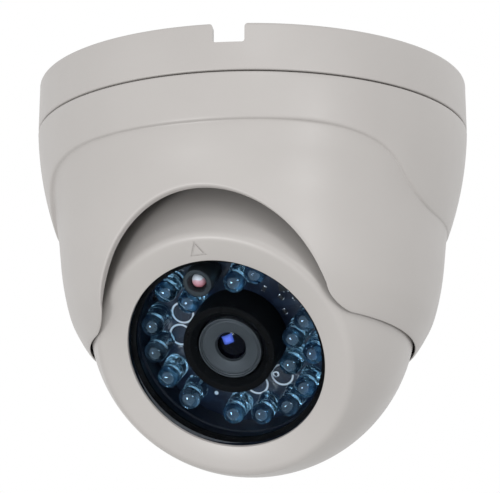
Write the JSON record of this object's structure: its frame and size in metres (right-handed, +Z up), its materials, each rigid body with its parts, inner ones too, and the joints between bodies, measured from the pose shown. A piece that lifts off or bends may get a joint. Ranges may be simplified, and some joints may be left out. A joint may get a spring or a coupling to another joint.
{
  "type": "dome cctv camera",
  "caption": "Ceiling dome camera with a rounded plastic housing, an arch opening and a ball that carries a lens and infrared lamps behind a round window.",
  "frame": {"origin": "centre of the ceiling face, on the pan axis", "axes": "+Z up through the ceiling face, -Y towards the cable notch of the base"},
  "size_m": [0.0944, 0.0944, 0.0882],
  "materials": {
    "shell_plastic": "satin warm light grey",
    "inner_plastic": "matte black",
    "rubber": "matte black",
    "felt": "pressed felt",
    "steel": "zinc plated",
    "brass": "plain",
    "window_clear": "polished, clear",
    "led_clear": "clear epoxy",
    "sensor_clear": "clear epoxy over a red cell",
    "board": "dark solder mask",
    "chip": "moulded epoxy",
    "capacitor": "sleeved can",
    "socket_plastic": "natural nylon",
    "lens_metal": "black anodised",
    "lens_glass": "coated",
    "filter_glass": "coated"
  },
  "bodies": {
    "base": {"mounting_base": "shell_plastic", "base_cable_grommet": "rubber", "retaining_ring": "steel", "retaining_ring_screws": "steel", "pan_friction_washer": "felt"},
    "housing": {"housing_cover": "shell_plastic", "turntable_plate": "inner_plastic", "cover_screws": "steel"},
    "cradle": {"tilt_cradle": "steel", "tilt_pins": "steel"},
    "ball": {"ball_shell": "shell_plastic", "ball_rear_cap": "shell_plastic", "ball_cap_screws": "steel", "roll_clip": "steel", "ball_cable_grommet": "rubber", "front_window": "window_clear", "window_gasket": "rubber", "light_baffle": "inner_plastic", "led_board": "board", "infrared_led_01": "led_clear", "infrared_led_02": "led_clear", "infrared_led_03": "led_clear", "infrared_led_04": "led_clear", "infrared_led_05": "led_clear", "infrared_led_06": "led_clear", "infrared_led_07": "led_clear", "infrared_led_08": "led_clear", "infrared_led_09": "led_clear", "infrared_led_10": "led_clear", "infrared_led_11": "led_clear", "infrared_led_12": "led_clear", "infrared_led_13": "led_clear", "infrared_led_14": "led_clear", "infrared_led_15": "led_clear", "infrared_led_16": "led_clear", "photocell": "sensor_clear", "photocell_sleeve": "inner_plastic", "lens_light_shield": "rubber", "lens_holder": "inner_plastic", "lens_grub_screw": "steel", "holder_screws": "steel", "infrared_filter": "filter_glass", "image_sensor": "chip", "sensor_board": "board", "board_spacers": "brass", "rear_spacers": "brass", "power_board": "board", "board_screws": "steel", "processor_chip": "chip", "power_capacitors": "capacitor", "cable_socket": "socket_plastic"},
    "lens": {"lens_barrel": "lens_metal", "lens_front_ring": "lens_metal", "lens_front_glass": "lens_glass", "lens_rear_glass": "lens_glass"}
  },
  "joints": [
    {"name": "housing_pan", "type": "hinge", "parent": "base", "child": "housing", "pos_m": [0, 0, -0.0105], "axis": [0, 0, 1], "range_deg": [-175, 175]},
    {"name": "ball_tilt", "type": "hinge", "parent": "housing", "child": "cradle", "pos_m": [0, 0, -0.0525], "axis": [0.9636, -0.2672, 0], "range_deg": [-25, 49]},
    {"name": "ball_roll", "type": "hinge", "parent": "cradle", "child": "ball", "pos_m": [0, 0, -0.0525], "axis": [-0.2029, -0.7317, -0.6508], "range_deg": [-170, 170]},
    {"name": "lens_focus", "type": "hinge", "parent": "ball", "child": "lens", "pos_m": [0, 0, -0.0525], "axis": [-0.2029, -0.7317, -0.6508], "range_deg": [-180, 180]}
  ]
}
